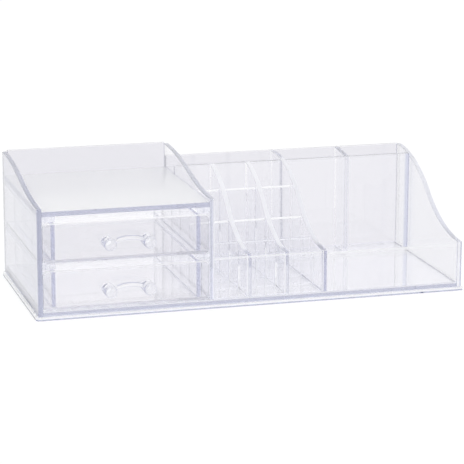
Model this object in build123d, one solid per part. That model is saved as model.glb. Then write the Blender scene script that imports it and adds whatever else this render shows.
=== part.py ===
"""Clear makeup organizer built up from bonded sheets, with two drawers.

Frame: X runs along the width, Y from the front (-) to the back (+), Z up.
The origin is the centre of the underside of the base plate. All sizes are in millimetres.
"""
import os

from build123d import *

# Case: outer sizes over the panels, without the flange of the base plate
CASE_WIDTH = 344.0
CASE_DEPTH = 145.0
CASE_SHEET = 3.8
BOND_GAP = 0.05
EDGE_BREAK = 0.3

# Base: a thin plate with a flange all round, and the floor panel on it
BASE_THICKNESS = 2.6
BASE_FLANGE = 1.8
BASE_CORNER_RADIUS = 3.0
FLOOR_THICKNESS = 4.2

# Drawer bay at the left, with a low guard round the tray on its deck
BAY_WIDTH = 139.0
DECK_HEIGHT = 84.4
GUARD_BACK_HEIGHT = 104.6
GUARD_SIDE_BACK_HEIGHT = 103.2
GUARD_SIDE_FRONT_HEIGHT = 86.8

# Lipstick block and open tray at the right, with tall slots behind them
LIPSTICK_COLUMNS = 3
LIPSTICK_ROW_HEIGHTS = (39.2, 44.3, 55.0, 74.6)
LIPSTICK_ROW_TOP_ROUND = 1.2
LIPSTICK_SLOT_WIDTH = 26.7
LIPSTICK_SLOT_DEPTH = 24.1
FRONT_HEIGHT = 40.2
LIPSTICK_SIDE_HEIGHT = 93.0
LIPSTICK_SIDE_REAR_FLAT = 10.0
RIGHT_SIDE_BACK_HEIGHT = 92.8
MAIN_BACK_HEIGHT = 93.2
SLOT_FRONT_HEIGHT = 90.4
LAP_CLEARANCE = 0.1

# Drawers: five bonded panels each, standing on strips along the bay's sides
DRAWER_NAMES = ("lower", "upper")
DRAWER_SHEET = 3.1
DRAWER_FLOOR_THICKNESS = 2.0
DRAWER_SIDE_INSET = 6.5
DRAWER_FRONT_CORNER_RADIUS = 3.5
DRAWER_SIDE_CLEARANCE = 0.6
DRAWER_RUN_CLEARANCE = 0.3
DRAWER_BACK_CLEARANCE = 0.8
DRAWER_HEAD_ROOM = 1.6
RUNNER_THICKNESS = 4.4
RUNNER_FRONT_SETBACK = 0.6

# Bow handles: two round bosses on pegs, joined by an arched bar
HANDLE_SPAN = 30.8
HANDLE_BELOW_MIDDLE = 0.6
HANDLE_BOSS_DIAMETER = 9.6
HANDLE_BOSS_LENGTH = 13.2
HANDLE_BOSS_ROUND = 1.6
HANDLE_PEG_DIAMETER = 4.6
HANDLE_BAR_DIAMETER = 3.4
HANDLE_BAR_LIFT = 0.2
HANDLE_BAR_ARCH = 4.4
HANDLE_BAR_FROM_FRONT = 9.6

# Planes that the pieces share
left_face = -CASE_WIDTH / 2
right_face = CASE_WIDTH / 2
front_face = -CASE_DEPTH / 2
back_face = CASE_DEPTH / 2
left_inner = left_face + CASE_SHEET
right_inner = right_face - CASE_SHEET
back_inner = back_face - CASE_SHEET
base_top = BASE_THICKNESS + BOND_GAP
floor_top = base_top + FLOOR_THICKNESS
panel_foot = floor_top + BOND_GAP
deck_underside = DECK_HEIGHT - CASE_SHEET

# Columns of the width: drawer bay, lipstick block, tray
bay_right = left_face + BAY_WIDTH
bay_inner_right = bay_right - CASE_SHEET
lipstick_pitch = LIPSTICK_SLOT_WIDTH + CASE_SHEET
lipstick_end_left = bay_right + LIPSTICK_COLUMNS * lipstick_pitch - CASE_SHEET
lipstick_end_right = lipstick_end_left + CASE_SHEET

# Rows of the depth: the lipstick rows, then the panel in front of the tall slots
lipstick_rows = len(LIPSTICK_ROW_HEIGHTS)
row_pitch = LIPSTICK_SLOT_DEPTH + CASE_SHEET
slot_front_face = front_face + lipstick_rows * row_pitch
slot_front_rear = slot_front_face + CASE_SHEET
sweep_level = back_inner - LIPSTICK_SIDE_REAR_FLAT

# Drawer heights: the bay is shared out evenly
drawer_zone = (deck_underside - floor_top) / len(DRAWER_NAMES)
drawer_height = drawer_zone - DRAWER_RUN_CLEARANCE - RUNNER_THICKNESS - DRAWER_HEAD_ROOM
drawer_left = left_inner + DRAWER_SIDE_CLEARANCE
drawer_right = bay_inner_right - DRAWER_SIDE_CLEARANCE
drawer_middle = (drawer_left + drawer_right) / 2
drawer_rear = back_inner - DRAWER_BACK_CLEARANCE
drawer_front_rear = front_face + DRAWER_SHEET


def block(x_from, x_to, y_from, y_to, z_from, z_to):
    """A plain block between six planes."""
    size = (x_to - x_from, y_to - y_from, z_to - z_from)
    middle = ((x_from + x_to) / 2, (y_from + y_to) / 2, (z_from + z_to) / 2)
    return Pos(*middle) * Box(*size)


def panel(x_from, x_to, y_from, y_to, z_from, z_to):
    """A flat sheet between six planes, with its edges broken."""
    sheet = block(x_from, x_to, y_from, y_to, z_from, z_to)
    return chamfer(sheet.edges(), EDGE_BREAK)


def swept_panel(x_from, y_end, y_level, z_from, z_front, z_back):
    """An upright sheet along Y whose top edge sweeps up from the front to y_level."""
    front_top = (front_face, z_front)
    level_top = (y_level, z_back)
    bend = ((front_face + y_level) / 2, (z_front + z_back) / 2)
    edges = [
        TangentArc(front_top, bend, tangent=(1, 0)),
        TangentArc(level_top, bend, tangent=(-1, 0)),
        Line((y_end, z_back), (y_end, z_from)),
        Line((y_end, z_from), (front_face, z_from)),
        Line((front_face, z_from), front_top),
    ]
    if y_level < y_end:
        edges.append(Line(level_top, (y_end, z_back)))
    outline = make_face(Plane.YZ * (Curve() + edges))
    sheet = extrude(outline, CASE_SHEET, dir=(1, 0, 0))
    return Pos(x_from, 0, 0) * chamfer(sheet.edges(), EDGE_BREAK)


def base_plate():
    width = CASE_WIDTH + 2 * BASE_FLANGE
    depth = CASE_DEPTH + 2 * BASE_FLANGE
    plate = extrude(RectangleRounded(width, depth, BASE_CORNER_RADIUS), BASE_THICKNESS)
    return chamfer(plate.edges().group_by(Axis.Z)[-1], EDGE_BREAK)


def floor_panel():
    left = left_inner + BOND_GAP
    right = right_inner - BOND_GAP
    return panel(left, right, front_face, back_face, base_top, floor_top)


def left_side_panel():
    return swept_panel(
        left_face, back_face, back_face, base_top, GUARD_SIDE_FRONT_HEIGHT, GUARD_SIDE_BACK_HEIGHT
    )


def bay_side_panel():
    return swept_panel(
        bay_inner_right, back_face, back_face, panel_foot, GUARD_SIDE_FRONT_HEIGHT, GUARD_SIDE_BACK_HEIGHT
    )


def right_side_panel():
    return swept_panel(right_inner, back_face, back_face, base_top, FRONT_HEIGHT, RIGHT_SIDE_BACK_HEIGHT)


def bay_back_panel():
    left = left_inner + BOND_GAP
    right = bay_inner_right - BOND_GAP
    return panel(left, right, back_inner, back_face, panel_foot, GUARD_BACK_HEIGHT)


def main_back_panel():
    left = bay_right + BOND_GAP
    right = right_inner - BOND_GAP
    return panel(left, right, back_inner, back_face, panel_foot, MAIN_BACK_HEIGHT)


def top_deck():
    left = left_inner + BOND_GAP
    right = bay_inner_right - BOND_GAP
    return panel(left, right, front_face, back_inner - BOND_GAP, deck_underside, DECK_HEIGHT)


def slot_front_panel(x_from, x_to):
    """Upright panel between the low compartments and the tall slots behind them."""
    left = x_from + BOND_GAP
    right = x_to - BOND_GAP
    return panel(left, right, slot_front_face, slot_front_rear, panel_foot, SLOT_FRONT_HEIGHT)


def rear_partition():
    """Divides the tall slots behind the tray, at the middle of the tray's width."""
    left = (lipstick_end_right + right_inner - CASE_SHEET) / 2
    front = slot_front_rear + BOND_GAP
    rear = back_inner - BOND_GAP
    outline = make_face(
        Plane.YZ
        * Polyline(
            (front, panel_foot),
            (rear, panel_foot),
            (rear, MAIN_BACK_HEIGHT),
            (front, SLOT_FRONT_HEIGHT),
            close=True,
        )
    )
    sheet = extrude(outline, CASE_SHEET, dir=(1, 0, 0))
    return Pos(left, 0, 0) * chamfer(sheet.edges(), EDGE_BREAK)


def lipstick_end_panel():
    rear = back_inner - BOND_GAP
    return swept_panel(lipstick_end_left, rear, sweep_level, panel_foot, FRONT_HEIGHT, LIPSTICK_SIDE_HEIGHT)


def row_sheet(row):
    """A wall across the lipstick block with a rounded top; row 0 is the front wall."""
    front = front_face + row * row_pitch
    left = bay_right + BOND_GAP
    right = lipstick_end_left - BOND_GAP
    sheet = block(left, right, front, front + CASE_SHEET, panel_foot, LIPSTICK_ROW_HEIGHTS[row])
    top_edges = sheet.edges().group_by(Axis.Z)[-1].filter_by(Axis.X)
    sheet = fillet(top_edges, LIPSTICK_ROW_TOP_ROUND)
    return chamfer(sheet.edges().group_by(Axis.Z)[0], EDGE_BREAK)


def lap_height(row):
    """Where a row wall and a column partition change over in their half-lap joint."""
    return (panel_foot + LIPSTICK_ROW_HEIGHTS[row]) / 2


def row_wall(row):
    """A row wall slotted from above, where the column partitions drop into it."""
    wall = row_sheet(row)
    middle_y = front_face + row * row_pitch + CASE_SHEET / 2
    width = CASE_SHEET + 2 * LAP_CLEARANCE
    for column in range(1, LIPSTICK_COLUMNS):
        middle_x = bay_right + column * lipstick_pitch - CASE_SHEET / 2
        slot = Box(width, 4 * CASE_SHEET, DECK_HEIGHT, align=(Align.CENTER, Align.CENTER, Align.MIN))
        wall -= Pos(middle_x, middle_y, lap_height(row)) * slot
    return wall


def column_partition(column):
    """A partition along the lipstick block, slotted from below for the row walls behind the front wall."""
    left = bay_right + column * lipstick_pitch - CASE_SHEET
    sheet = swept_panel(left, sweep_level, sweep_level, panel_foot, FRONT_HEIGHT, LIPSTICK_SIDE_HEIGHT)
    front_plane = Plane(origin=(0, front_face + CASE_SHEET + BOND_GAP, 0), z_dir=(0, 1, 0))
    rear_plane = Plane(origin=(0, slot_front_face - BOND_GAP, 0), z_dir=(0, -1, 0))
    for plane in (front_plane, rear_plane):
        sheet = split(sheet, plane, keep=Keep.TOP)
    for row in range(1, lipstick_rows):
        middle_y = front_face + row * row_pitch + CASE_SHEET / 2
        depth = CASE_SHEET + 2 * LAP_CLEARANCE
        height = lap_height(row) + LAP_CLEARANCE
        slot = Box(4 * CASE_SHEET, depth, height, align=(Align.CENTER, Align.CENTER, Align.MIN))
        sheet -= Pos(left + CASE_SHEET / 2, middle_y, 0) * slot
    return sheet


def runner(side, top):
    """A strip along the bay's side that carries or guides a drawer; side is -1 left, 1 right."""
    width = DRAWER_SIDE_CLEARANCE + DRAWER_SIDE_INSET + DRAWER_SHEET
    front = front_face + RUNNER_FRONT_SETBACK
    rear = back_inner - BOND_GAP
    if side < 0:
        left = left_inner + BOND_GAP
        return panel(left, left + width, front, rear, top - RUNNER_THICKNESS, top)
    right = bay_inner_right - BOND_GAP
    return panel(right - width, right, front, rear, top - RUNNER_THICKNESS, top)


def drawer_bottom(drawer):
    """Height of the underside of a drawer, counted from the bottom."""
    return floor_top + drawer * drawer_zone + DRAWER_RUN_CLEARANCE


def handle_height(drawer):
    return drawer_bottom(drawer) + drawer_height / 2 - HANDLE_BELOW_MIDDLE


def drawer_front(drawer):
    """Front panel as wide as the bay, with rounded corners and two holes for the handle."""
    width = drawer_right - drawer_left
    face = RectangleRounded(width, drawer_height, DRAWER_FRONT_CORNER_RADIUS)
    face = Plane.XZ * face
    sheet = extrude(face, DRAWER_SHEET / 2, both=True)
    sheet = chamfer(sheet.edges(), EDGE_BREAK)
    middle_y = front_face + DRAWER_SHEET / 2
    sheet = Pos(drawer_middle, middle_y, drawer_bottom(drawer) + drawer_height / 2) * sheet
    hole = Cylinder(HANDLE_PEG_DIAMETER / 2 + BOND_GAP, 4 * DRAWER_SHEET, rotation=(90, 0, 0))
    for side in (-1, 1):
        sheet -= Pos(drawer_middle + side * HANDLE_SPAN / 2, middle_y, handle_height(drawer)) * hole
    return sheet


def drawer_floor(drawer):
    """Bottom panel as wide as the front, so that its wings guide the drawer in the bay."""
    bottom = drawer_bottom(drawer)
    front = drawer_front_rear + BOND_GAP
    return panel(drawer_left, drawer_right, front, drawer_rear, bottom, bottom + DRAWER_FLOOR_THICKNESS)


def drawer_side(drawer, side):
    """Side panel standing on the drawer floor, set in from its wing; side is -1 left, 1 right."""
    foot = drawer_bottom(drawer) + DRAWER_FLOOR_THICKNESS + BOND_GAP
    top = drawer_bottom(drawer) + drawer_height
    front = drawer_front_rear + BOND_GAP
    if side < 0:
        left = drawer_left + DRAWER_SIDE_INSET
    else:
        left = drawer_right - DRAWER_SIDE_INSET - DRAWER_SHEET
    return panel(left, left + DRAWER_SHEET, front, drawer_rear, foot, top)


def drawer_back(drawer):
    foot = drawer_bottom(drawer) + DRAWER_FLOOR_THICKNESS + BOND_GAP
    top = drawer_bottom(drawer) + drawer_height
    inset = DRAWER_SIDE_INSET + DRAWER_SHEET + BOND_GAP
    left = drawer_left + inset
    right = drawer_right - inset
    return panel(left, right, drawer_rear - DRAWER_SHEET, drawer_rear, foot, top)


def boss():
    """Round boss with its peg, along Y, with the front panel's face at y = 0."""
    knob = Cylinder(HANDLE_BOSS_DIAMETER / 2, HANDLE_BOSS_LENGTH - BOND_GAP, rotation=(90, 0, 0))
    knob = Pos(0, -(HANDLE_BOSS_LENGTH + BOND_GAP) / 2, 0) * knob
    rims = knob.edges().filter_by(GeomType.CIRCLE).sort_by(Axis.Y)
    knob = fillet(rims[0], HANDLE_BOSS_ROUND)
    peg_length = DRAWER_SHEET + HANDLE_BOSS_LENGTH / 2
    peg = Cylinder(HANDLE_PEG_DIAMETER / 2, peg_length, rotation=(90, 0, 0))
    peg = Pos(0, DRAWER_SHEET - peg_length / 2, 0) * peg
    return knob + peg


def handle(drawer):
    """Bow handle: two bosses and the bar that arches up between them."""
    ends = [(side * HANDLE_SPAN / 2, HANDLE_BAR_LIFT) for side in (-1, 1)]
    crown = (0, HANDLE_BAR_LIFT + HANDLE_BAR_ARCH)
    path = Plane.XZ * ThreePointArc(ends[0], crown, ends[1])
    path = Pos(0, -HANDLE_BAR_FROM_FRONT, 0) * path
    bar = sweep(Plane(path @ 0, z_dir=path % 0) * Circle(HANDLE_BAR_DIAMETER / 2), path=path)
    bow = Pos(-HANDLE_SPAN / 2, 0, 0) * boss() + bar + Pos(HANDLE_SPAN / 2, 0, 0) * boss()
    return Pos(drawer_middle, front_face, handle_height(drawer)) * bow


def case_pieces():
    pieces = {
        "base_plate": base_plate(),
        "floor_panel": floor_panel(),
        "left_side_panel": left_side_panel(),
        "right_side_panel": right_side_panel(),
        "bay_side_panel": bay_side_panel(),
        "bay_back_panel": bay_back_panel(),
        "main_back_panel": main_back_panel(),
        "top_deck": top_deck(),
        "lipstick_end_panel": lipstick_end_panel(),
        "lipstick_back_panel": slot_front_panel(bay_right, lipstick_end_left),
        "tray_back_panel": slot_front_panel(lipstick_end_right, right_inner),
        "rear_slot_partition": rear_partition(),
    }
    for column in range(1, LIPSTICK_COLUMNS):
        pieces[f"lipstick_column_partition_{column}"] = column_partition(column)
    pieces["lipstick_front_wall"] = row_sheet(0)
    for row in range(1, lipstick_rows):
        pieces[f"lipstick_row_wall_{row}"] = row_wall(row)
    for word, side in (("left", -1), ("right", 1)):
        pieces[f"{word}_top_guide"] = runner(side, deck_underside - BOND_GAP)
        for drawer in range(1, len(DRAWER_NAMES)):
            carried = DRAWER_NAMES[drawer]
            top = drawer_bottom(drawer) - DRAWER_RUN_CLEARANCE
            pieces[f"{word}_runner_{carried}_drawer"] = runner(side, top)
    return pieces


def drawer_pieces(drawer):
    name = f"{DRAWER_NAMES[drawer]}_drawer"
    return {
        f"{name}_front": drawer_front(drawer),
        f"{name}_floor": drawer_floor(drawer),
        f"{name}_left_side": drawer_side(drawer, -1),
        f"{name}_right_side": drawer_side(drawer, 1),
        f"{name}_back": drawer_back(drawer),
        f"{name}_handle": handle(drawer),
    }


def main():
    os.makedirs("parts", exist_ok=True)
    pieces = case_pieces()
    for drawer in range(len(DRAWER_NAMES)):
        pieces.update(drawer_pieces(drawer))
    for name, shape in pieces.items():
        export_step(shape, f"parts/{name}.step")


main()
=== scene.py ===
"""Looks of the clear makeup organizer: clear plastic sheets in a white studio."""
from dataclasses import dataclass
from math import pi, radians

import bpy
from mathutils import Euler, Matrix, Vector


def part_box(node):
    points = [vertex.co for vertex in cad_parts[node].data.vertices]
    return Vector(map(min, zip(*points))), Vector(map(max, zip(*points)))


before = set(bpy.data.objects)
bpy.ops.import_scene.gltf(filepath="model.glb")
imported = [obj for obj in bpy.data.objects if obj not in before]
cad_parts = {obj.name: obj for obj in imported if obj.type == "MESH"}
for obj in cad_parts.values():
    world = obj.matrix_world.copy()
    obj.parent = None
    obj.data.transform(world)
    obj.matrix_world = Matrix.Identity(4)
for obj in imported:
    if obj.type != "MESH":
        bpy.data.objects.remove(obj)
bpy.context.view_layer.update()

# Camera that matches the photograph, in metres and degrees, in the frame of the part
IMAGE_WIDTH_PX = 464
FOCAL_LENGTH_PX = 2138.8
SENSOR_WIDTH_MM = 36.0
CAMERA_PLACE = (-0.4625, -1.6175, 0.4442)
CAMERA_TURN = -16.01
CAMERA_DIP = 13.45
CAMERA_ROLL = 0.14
CAMERA_CLIP_END = 20.0

# Studio: a white floor, a bright back and top, a dimmer front and a darker front left
FLOOR_SIZE = 8.0
FLOOR_DROP = 0.0003
FLOOR_ALBEDO = 0.2
FLOOR_GLOW = 0.83
BACK_LEVEL = (1.15, 1.15, 1.16)
FRONT_LEVEL = (1.0, 1.0, 1.01)
TOP_LEVEL = (1.12, 1.12, 1.13)
LEFT_LEVEL = (0.7, 0.71, 0.74)

# Directions over which one part of the studio passes into the next, as parts of a unit vector
BACK_SPAN_Y = (-0.6, 0.2)
TOP_SPAN_Z = (0.35, 0.8)
LEFT_SPAN_X = (-0.2, -0.7)
LEFT_SPAN_Y = (0.3, 0.0)

# Clear plastic: how it refracts, and what it absorbs inside, per metre
PLASTIC_IOR = 1.49
ABSORB_COLOUR = (0.2, 0.238, 0.488)
DRAWER_ABSORB_COLOUR = (0.2, 0.262, 0.64)
ABSORB_DENSITY = 4.5
DRAWER_DENSITY = 3.3
GUARD_DENSITY = 3.4
STRIP_DENSITY = 1.5
BASE_DENSITY = 6.0
DECK_DENSITY = 4.7

# Tints of the plastic's surfaces, most of them painted shade that darkens each kind of sheet, and how
# white the bar of a handle is, a painted highlight
CLEAR_TINT = (0.998, 0.998, 1.0)
# Painted shade: the front, side, back, bay, floor and row tints darken these sheets to stand for the
# grey of the studio seen in them
UPPER_FRONT_PAINTED_SHADE = (0.865, 0.861, 0.88)
LOWER_FRONT_PAINTED_SHADE = (0.93, 0.925, 0.935)
LEFT_PAINTED_SHADE = (0.765, 0.77, 0.81)
RIGHT_PAINTED_SHADE = (0.89, 0.89, 0.91)
BACK_PAINTED_SHADE = (0.805, 0.798, 0.838)
LOW_BACK_PAINTED_SHADE = (0.84, 0.833, 0.87)
BAY_PAINTED_SHADE = (0.92, 0.916, 0.932)
# Painted shade: the grey laid on the deck's top
DECK_TOP_PAINTED_SHADE = (0.77, 0.77, 0.77)
FLOOR_PAINTED_SHADE = (0.945, 0.943, 0.952)
ROW_PAINTED_SHADE = (0.98, 0.98, 0.985)
# Painted shade: the darker blue end of the tray's back
TRAY_BACK_END_PAINTED_SHADE = (0.77, 0.79, 0.89)
# Painted shade: the dark blue-grey laid on the handles' flanks
HANDLE_FLANK_PAINTED_SHADE = (0.48, 0.5, 0.64)
WHITE = (0.98, 0.98, 0.985)
# Painted highlight: the white share on the front of a handle's bar
BAR_PAINTED_HIGHLIGHT = 0.38

# Gloss as roughness, and slow waves in the sheets, with their depth in metres
SMOOTH = (0.008, 0.024)
DECK_ROUGHNESS = (0.16, 0.22)
EDGE_ROUGHNESS = 0.4
WAVES_PER_METRE = 22.0
WAVE_DETAIL = 1.0
WAVE_STRENGTH = 0.015
WAVE_DEPTH = 0.001

# Facing, as a part of the unit normal, over which a face passes into another kind of face
EDGE_UPWARD = (0.15, 0.3)
SWEPT_FLAT_UPWARD = (0.98, 0.995)
DECK_TOP_UPWARD = (0.9, 0.95)
BOSS_TOP_UPWARD = (0.85, 0.35)
FRONT_EDGE_FORWARD = (0.9, 0.95)
HANDLE_CAP_FORWARD = (0.4, 0.95)
ROUGH_FACES_UPWARD = {"level": (0.5, 0.8), "upright": (0.8, 0.5)}

# Places with painted highlights or painted shade, as shares of a piece's box, and how softly they end
BAR_SPAN = (0.24, 0.76)
BAR_SOFTNESS = 0.01
FRONT_EDGE_SOFTNESS = 0.05
# Painted highlight: the white line at the foot of the tray's back; painted shade: its darker end
TRAY_BACK_FOOT_HIGHLIGHT = (0.034, 0.026)
TRAY_BACK_END_SHADE_SPAN = (0.965, 0.975)
# Painted highlight: the white bands on the upper sides of the floor panel and base plate
HIGHLIGHT_BAND_FOOT = {"base": (0.4, 0.5), "floor": (0.7, 0.8)}
HIGHLIGHT_BAND_TOP = (0.99, 0.97)

# Heights where the painted shade of a back panel changes, in metres, set where the slot panel's top is
# seen against the back from this camera; behind the deck it changes at the deck's top
PAINTED_SHADE_LINE = (0.082, 0.084)
DECK_LINE_WIDTH = 0.001
deck_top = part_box("top_deck")[1].z

# Light paths have to cross many clear layers
LIGHT_BOUNCES = 48


@dataclass
class Look:
    """How one kind of piece looks: its tint, on most kinds a painted shade, its gloss, and how white its
    faces and edges are: painted highlights, a painted grey shade on the deck's top, and frosted cut
    edges.
    """

    tint: tuple = CLEAR_TINT
    roughness: tuple = SMOOTH
    # Painted highlights: the white shares of handle caps, cut edges (which are also frosted), bands and
    # front edges; the band tone is white, or a painted grey shade on the deck
    cap_painted_highlight: float = 0.0
    edge_frost_and_highlight: float = 0.0
    flat_haze: float = 0.0
    band_painted_light: float = 0.0
    band_painted_tone: tuple = WHITE
    front_painted_highlight: float = 0.0
    front_span: tuple = (0.0, 1.0)
    absorb_colour: tuple = ABSORB_COLOUR
    density: float = ABSORB_DENSITY
    rough_faces: str = ""

    @property
    def has_painted_light(self):
        return any((self.cap_painted_highlight, self.edge_frost_and_highlight, self.flat_haze, self.band_painted_light, self.front_painted_highlight))


# Looks per kind: tints other than the clear one are painted shade; white edges, caps, bands and fronts
# are painted highlights, besides the frost of cut edges; the deck's band is painted grey shade
LOOKS = {
    "main_back": Look(tint=BACK_PAINTED_SHADE, edge_frost_and_highlight=0.5),
    "bay_back": Look(tint=BACK_PAINTED_SHADE, edge_frost_and_highlight=0.5),
    "left": Look(tint=LEFT_PAINTED_SHADE, edge_frost_and_highlight=0.1),
    "right": Look(tint=RIGHT_PAINTED_SHADE, edge_frost_and_highlight=0.35, front_painted_highlight=0.7, front_span=(0.0, 0.7)),
    "guard": Look(edge_frost_and_highlight=0.12, front_painted_highlight=0.8, front_span=(0.75, 1.0), density=GUARD_DENSITY),
    "swept": Look(edge_frost_and_highlight=0.6, flat_haze=0.1, front_painted_highlight=0.8, front_span=(0.0, 0.3)),
    "row": Look(tint=ROW_PAINTED_SHADE, edge_frost_and_highlight=0.95),
    "low_row": Look(tint=ROW_PAINTED_SHADE),
    "front_wall": Look(edge_frost_and_highlight=0.3),
    "slot": Look(edge_frost_and_highlight=0.15),
    "rear_partition": Look(edge_frost_and_highlight=0.1),
    "tray_back": Look(edge_frost_and_highlight=0.15, band_painted_light=0.97),
    "upper_front": Look(tint=UPPER_FRONT_PAINTED_SHADE, edge_frost_and_highlight=0.9),
    "lower_front": Look(tint=LOWER_FRONT_PAINTED_SHADE, edge_frost_and_highlight=0.9),
    "drawer_side": Look(
        absorb_colour=DRAWER_ABSORB_COLOUR, density=DRAWER_DENSITY, rough_faces="level"
    ),
    "drawer_floor": Look(density=STRIP_DENSITY, rough_faces="upright"),
    "deck": Look(
        roughness=DECK_ROUGHNESS, band_painted_light=0.6, band_painted_tone=DECK_TOP_PAINTED_SHADE, density=DECK_DENSITY
    ),
    "floor": Look(tint=FLOOR_PAINTED_SHADE, band_painted_light=0.6),
    "base": Look(band_painted_light=0.9, density=BASE_DENSITY),
    "strip": Look(density=STRIP_DENSITY),
    "handle": Look(cap_painted_highlight=0.18),
}

# The first of these words that a piece's name contains gives its kind
KIND_OF_NAME = (
    ("handle", "handle"),
    ("_runner_", "strip"),
    ("_guide", "strip"),
    ("upper_drawer_front", "upper_front"),
    ("lower_drawer_front", "lower_front"),
    ("drawer_floor", "drawer_floor"),
    ("_drawer_", "drawer_side"),
    ("main_back_panel", "main_back"),
    ("bay_back_panel", "bay_back"),
    ("tray_back_panel", "tray_back"),
    ("rear_slot_partition", "rear_partition"),
    ("left_side_panel", "left"),
    ("right_side_panel", "right"),
    ("bay_side_panel", "guard"),
    ("lipstick_end_panel", "swept"),
    ("lipstick_column", "swept"),
    ("lipstick_front_wall", "front_wall"),
    ("lipstick_row_wall_1", "low_row"),
    ("lipstick_row_wall", "row"),
    ("top_deck", "deck"),
    ("base_plate", "base"),
    ("floor_panel", "floor"),
)
OTHER_KIND = "slot"


def make_camera():
    data = bpy.data.cameras.new("camera")
    data.sensor_width = SENSOR_WIDTH_MM
    data.lens = FOCAL_LENGTH_PX / IMAGE_WIDTH_PX * SENSOR_WIDTH_MM
    data.clip_end = CAMERA_CLIP_END
    camera = bpy.data.objects.new("camera", data)
    heading = Euler((pi / 2 - radians(CAMERA_DIP), 0.0, radians(CAMERA_TURN))).to_matrix()
    turned = heading @ Matrix.Rotation(radians(CAMERA_ROLL), 3, "Z")
    camera.matrix_world = Matrix.Translation(CAMERA_PLACE) @ turned.to_4x4()
    bpy.context.scene.collection.objects.link(camera)
    bpy.context.scene.camera = camera


def new_node(tree, kind, **settings):
    node = tree.nodes.new(kind)
    for name, value in settings.items():
        setattr(node, name, value)
    return node


def plug(tree, value, socket):
    """Sets a socket to a number or colour, or links it to the output of a node."""
    if isinstance(value, bpy.types.NodeSocket):
        tree.links.new(value, socket)
    elif isinstance(value, tuple) and socket.type == "RGBA":
        socket.default_value = (*value, 1.0)
    else:
        socket.default_value = value


def calculate(tree, operation, first, second):
    node = new_node(tree, "ShaderNodeMath", operation=operation)
    plug(tree, first, node.inputs[0])
    plug(tree, second, node.inputs[1])
    return node.outputs["Value"]


def smooth_step(tree, value, low, high):
    """Output that rises from 0 to 1 while value goes from low to high."""
    node = new_node(tree, "ShaderNodeMapRange", interpolation_type="SMOOTHSTEP")
    plug(tree, value, node.inputs["Value"])
    plug(tree, low, node.inputs["From Min"])
    plug(tree, high, node.inputs["From Max"])
    return node.outputs["Result"]


def blend(tree, factor, first, second):
    """Output that goes from one number to another with factor."""
    node = new_node(tree, "ShaderNodeMix", data_type="FLOAT")
    plug(tree, factor, node.inputs[0])
    plug(tree, first, node.inputs[2])
    plug(tree, second, node.inputs[3])
    return node.outputs[0]


def blend_colours(tree, factor, first, second):
    """Output that goes from one colour to another with factor."""
    node = new_node(tree, "ShaderNodeMix", data_type="RGBA")
    plug(tree, factor, node.inputs[0])
    plug(tree, first, node.inputs[6])
    plug(tree, second, node.inputs[7])
    return node.outputs[2]


def split_vector(tree, vector):
    """Separate X, Y and Z outputs of a vector."""
    node = new_node(tree, "ShaderNodeSeparateXYZ")
    plug(tree, vector, node.inputs["Vector"])
    return node.outputs


def place(tree, output):
    """Separate X, Y and Z outputs of a kind of texture coordinates."""
    coords = new_node(tree, "ShaderNodeTexCoord")
    return split_vector(tree, coords.outputs[output])


def make_world():
    """A soft studio round the part: bright behind and above, dimmer in front, dark at the front left."""
    world = bpy.data.worlds.new("studio")
    world.use_nodes = True
    bpy.context.scene.world = world
    tree = world.node_tree
    tree.nodes.clear()
    output = new_node(tree, "ShaderNodeOutputWorld")
    background = new_node(tree, "ShaderNodeBackground")
    plug(tree, background.outputs["Background"], output.inputs["Surface"])
    direction = place(tree, "Generated")
    behind = smooth_step(tree, direction["Y"], *BACK_SPAN_Y)
    sides = blend_colours(tree, behind, FRONT_LEVEL, BACK_LEVEL)
    above = smooth_step(tree, direction["Z"], *TOP_SPAN_Z)
    whole = blend_colours(tree, above, sides, TOP_LEVEL)
    left = smooth_step(tree, direction["X"], *LEFT_SPAN_X)
    ahead = smooth_step(tree, direction["Y"], *LEFT_SPAN_Y)
    dim = calculate(tree, "MULTIPLY", left, ahead)
    plug(tree, blend_colours(tree, dim, whole, LEFT_LEVEL), background.inputs["Color"])


def floor_white():
    """Matt floor that gets most of its white from a glow, so that it stays white under the part."""
    material = bpy.data.materials.new("floor_white")
    material.use_nodes = True
    tree = material.node_tree
    sockets = tree.nodes["Principled BSDF"].inputs
    plug(tree, (FLOOR_ALBEDO, FLOOR_ALBEDO, FLOOR_ALBEDO), sockets["Base Color"])
    plug(tree, 1.0, sockets["Roughness"])
    plug(tree, 0.0, sockets["Specular IOR Level"])
    plug(tree, (1.0, 1.0, 1.0), sockets["Emission Color"])
    plug(tree, FLOOR_GLOW, sockets["Emission Strength"])
    return material


def make_floor():
    mesh = bpy.data.meshes.new("floor")
    half = FLOOR_SIZE / 2
    signs = ((-1, -1), (1, -1), (1, 1), (-1, 1))
    corners = [(x * half, y * half, -FLOOR_DROP) for x, y in signs]
    mesh.from_pydata(corners, [], [(0, 1, 2, 3)])
    mesh.materials.append(floor_white())
    floor = bpy.data.objects.new("floor", mesh)
    bpy.context.scene.collection.objects.link(floor)


def outer_face(tree):
    """Outputs: 1 where a face is met from outside, and how far it then faces forward and upward."""
    geometry = new_node(tree, "ShaderNodeNewGeometry")
    outside = calculate(tree, "SUBTRACT", 1.0, geometry.outputs["Backfacing"])
    normal = split_vector(tree, geometry.outputs["True Normal"])
    inside_out = calculate(tree, "MULTIPLY", outside, -1.0)
    forward = calculate(tree, "MULTIPLY", normal["Y"], inside_out)
    upward = calculate(tree, "MULTIPLY", normal["Z"], outside)
    return outside, forward, upward


def cut_faces(tree, which):
    """Output that is 1 on the level faces of a sheet, or on its upright ones."""
    geometry = new_node(tree, "ShaderNodeNewGeometry")
    normal = split_vector(tree, geometry.outputs["True Normal"])
    size = new_node(tree, "ShaderNodeMath", operation="ABSOLUTE")
    plug(tree, normal["Z"], size.inputs[0])
    return smooth_step(tree, size.outputs["Value"], *ROUGH_FACES_UPWARD[which])


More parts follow.
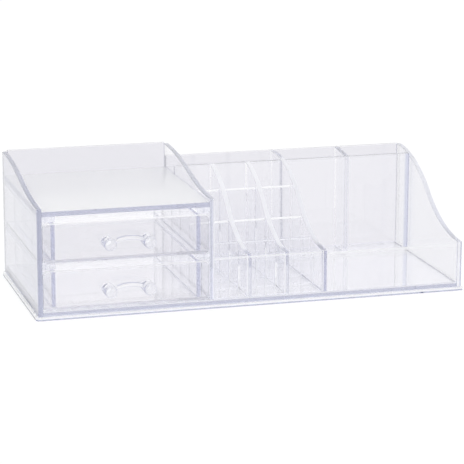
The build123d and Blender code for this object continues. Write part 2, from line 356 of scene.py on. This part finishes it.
def add_waves(tree, shader, roughness):
    """Slow waves in the surface, as moulded and polished sheet has, and uneven gloss."""
    coords = new_node(tree, "ShaderNodeTexCoord")
    noise = new_node(tree, "ShaderNodeTexNoise")
    plug(tree, coords.outputs["Object"], noise.inputs["Vector"])
    plug(tree, WAVES_PER_METRE, noise.inputs["Scale"])
    plug(tree, WAVE_DETAIL, noise.inputs["Detail"])
    bump = new_node(tree, "ShaderNodeBump")
    plug(tree, WAVE_STRENGTH, bump.inputs["Strength"])
    plug(tree, WAVE_DEPTH, bump.inputs["Distance"])
    plug(tree, noise.outputs["Fac"], bump.inputs["Height"])
    plug(tree, bump.outputs["Normal"], shader.inputs["Normal"])
    return blend(tree, noise.outputs["Fac"], *roughness)


def painted_band(tree, kind, upward):
    """Output that is 1 where a band of painted light goes: painted grey shade on the deck's top, a
    painted white line at the tray back's foot, and painted highlights high on the sides of the floor
    panel and base plate.
    """
    if kind == "deck":
        return smooth_step(tree, upward, *DECK_TOP_UPWARD)
    height = place(tree, "Generated")["Z"]
    if kind == "tray_back":
        return smooth_step(tree, height, *TRAY_BACK_FOOT_HIGHLIGHT)
    above = smooth_step(tree, height, *HIGHLIGHT_BAND_FOOT[kind])
    below = smooth_step(tree, height, *HIGHLIGHT_BAND_TOP)
    return calculate(tree, "MULTIPLY", above, below)


def across_span(tree, span, softness):
    """Output that is 1 between two shares of a piece's width."""
    across = place(tree, "Generated")["X"]
    after = smooth_step(tree, across, span[0] - softness, span[0] + softness)
    before = smooth_step(tree, across, span[1] + softness, span[1] - softness)
    return calculate(tree, "MULTIPLY", after, before)


def front_highlight_mask(tree, forward, span):
    """Output that is 1 on the front edge of an upright sheet, over a span of its thickness, where a
    white painted highlight goes.
    """
    facing = smooth_step(tree, forward, *FRONT_EDGE_FORWARD)
    return calculate(tree, "MULTIPLY", facing, across_span(tree, span, FRONT_EDGE_SOFTNESS))


def handle_faces(tree, cap_painted_highlight, outside, forward, upward):
    """Outputs: how white the forward faces of a handle are, a painted highlight, and where its flanks
    get painted shade.
    """
    bar = across_span(tree, BAR_SPAN, BAR_SOFTNESS)
    cap = smooth_step(tree, forward, *HANDLE_CAP_FORWARD)
    diffuse_share = calculate(tree, "MULTIPLY", cap, blend(tree, bar, cap_painted_highlight, BAR_PAINTED_HIGHLIGHT))
    # Painted shade goes on the flanks that don't face upward, and on the bar's flanks
    flank = calculate(tree, "SUBTRACT", outside, cap)
    under_top = smooth_step(tree, upward, *BOSS_TOP_UPWARD)
    painted_shade_place = calculate(tree, "MAXIMUM", bar, under_top)
    return diffuse_share, calculate(tree, "MULTIPLY", flank, painted_shade_place)


def tint_with_painted_shade(tree, kind, tint):
    """The tint of a kind of piece, on most kinds a painted shade, which changes over the back panels and
    the tray's back.
    """
    if kind == "main_back":
        # Painted shade: the back panels are darker above these lines, and the tray's back is bluer at
        # its end
        above = smooth_step(tree, place(tree, "Object")["Z"], *PAINTED_SHADE_LINE)
        return blend_colours(tree, above, LOW_BACK_PAINTED_SHADE, tint)
    if kind == "bay_back":
        above = smooth_step(tree, place(tree, "Object")["Z"], deck_top - DECK_LINE_WIDTH, deck_top)
        return blend_colours(tree, above, BAY_PAINTED_SHADE, tint)
    if kind == "tray_back":
        end = smooth_step(tree, place(tree, "Generated")["X"], *TRAY_BACK_END_SHADE_SPAN)
        return blend_colours(tree, end, tint, TRAY_BACK_END_PAINTED_SHADE)
    return tint


class Surface:
    """The tint, gloss and diffuse share of one plastic, while its painted highlights, painted shade and
    frosted edges are laid over each other.
    """

    def __init__(self, tree, tint, gloss):
        self.tree = tree
        self.tint = tint
        self.gloss = gloss
        self.diffuse_share = 0.0

    def cover(self, mask, diffuse_share, tint):
        self.diffuse_share = blend(self.tree, mask, self.diffuse_share, diffuse_share)
        self.tint = blend_colours(self.tree, mask, self.tint, tint)

    def roughen(self, mask):
        self.gloss = blend(self.tree, mask, self.gloss, EDGE_ROUGHNESS)


def lay_painted_light(surface, kind, look):
    """Painted light of one kind of piece: painted highlights on handle caps and bars with painted shade
    on their flanks, frosted cut edges painted white as highlights, bands of painted highlight or painted
    shade, and painted highlights on front edges.
    """
    tree = surface.tree
    outside, forward, upward = outer_face(tree)
    if look.cap_painted_highlight:
        surface.diffuse_share, flank = handle_faces(tree, look.cap_painted_highlight, outside, forward, upward)
        # Painted shade on the handle's flanks
        surface.tint = blend_colours(tree, flank, surface.tint, HANDLE_FLANK_PAINTED_SHADE)
    if look.edge_frost_and_highlight:
        # Cut edges facing upward: frosted, and painted white as highlights
        edge = smooth_step(tree, upward, *EDGE_UPWARD)
        surface.cover(edge, look.edge_frost_and_highlight, WHITE)
        surface.roughen(edge)
    if look.flat_haze:
        flat = smooth_step(tree, upward, *SWEPT_FLAT_UPWARD)
        surface.diffuse_share = blend(tree, flat, surface.diffuse_share, look.flat_haze)
    # Bands of painted highlight, or of painted grey shade on the deck
    if look.band_painted_light:
        band = calculate(tree, "MULTIPLY", outside, painted_band(tree, kind, upward))
        surface.cover(band, look.band_painted_light, look.band_painted_tone)
    # Painted highlight on front edges
    if look.front_painted_highlight:
        front = front_highlight_mask(tree, forward, look.front_span)
        surface.cover(front, look.front_painted_highlight, WHITE)


def add_absorption(tree, look):
    absorb = new_node(tree, "ShaderNodeVolumeAbsorption")
    plug(tree, look.absorb_colour, absorb.inputs["Color"])
    plug(tree, look.density, absorb.inputs["Density"])
    plug(tree, absorb.outputs["Volume"], tree.nodes["Material Output"].inputs["Volume"])


def clear_plastic(kind):
    """Clear plastic for one kind of piece; the diffuse share of its painted highlights, painted shade
    and frosted edges takes away from what it lets through.
    """
    look = LOOKS[kind]
    material = bpy.data.materials.new(f"clear_{kind}")
    material.use_nodes = True
    tree = material.node_tree
    shader = tree.nodes["Principled BSDF"]
    plug(tree, PLASTIC_IOR, shader.inputs["IOR"])
    plug(tree, 1.0, shader.inputs["Transmission Weight"])
    gloss = add_waves(tree, shader, look.roughness)
    surface = Surface(tree, tint_with_painted_shade(tree, kind, look.tint), gloss)
    if look.has_painted_light:
        lay_painted_light(surface, kind, look)
        clear = calculate(tree, "SUBTRACT", 1.0, surface.diffuse_share)
        plug(tree, clear, shader.inputs["Transmission Weight"])
    if look.rough_faces:
        surface.roughen(cut_faces(tree, look.rough_faces))
    plug(tree, surface.gloss, shader.inputs["Roughness"])
    plug(tree, surface.tint, shader.inputs["Base Color"])
    add_absorption(tree, look)
    return material


def kind_of(name):
    for word, kind in KIND_OF_NAME:
        if word in name:
            return kind
    return OTHER_KIND


def dress():
    materials = {kind: clear_plastic(kind) for kind in LOOKS}
    for name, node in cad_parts.items():
        for slot in node.material_slots:
            slot.material = materials[kind_of(name)]


def set_light_paths():
    cycles = bpy.context.scene.cycles
    cycles.max_bounces = LIGHT_BOUNCES
    cycles.transmission_bounces = LIGHT_BOUNCES
    cycles.glossy_bounces = LIGHT_BOUNCES
    cycles.transparent_max_bounces = LIGHT_BOUNCES
    cycles.diffuse_bounces = LIGHT_BOUNCES
    cycles.blur_glossy = 0.0


make_camera()
make_world()
make_floor()
dress()
set_light_paths()
bpy.context.scene.view_settings.view_transform = "Standard"
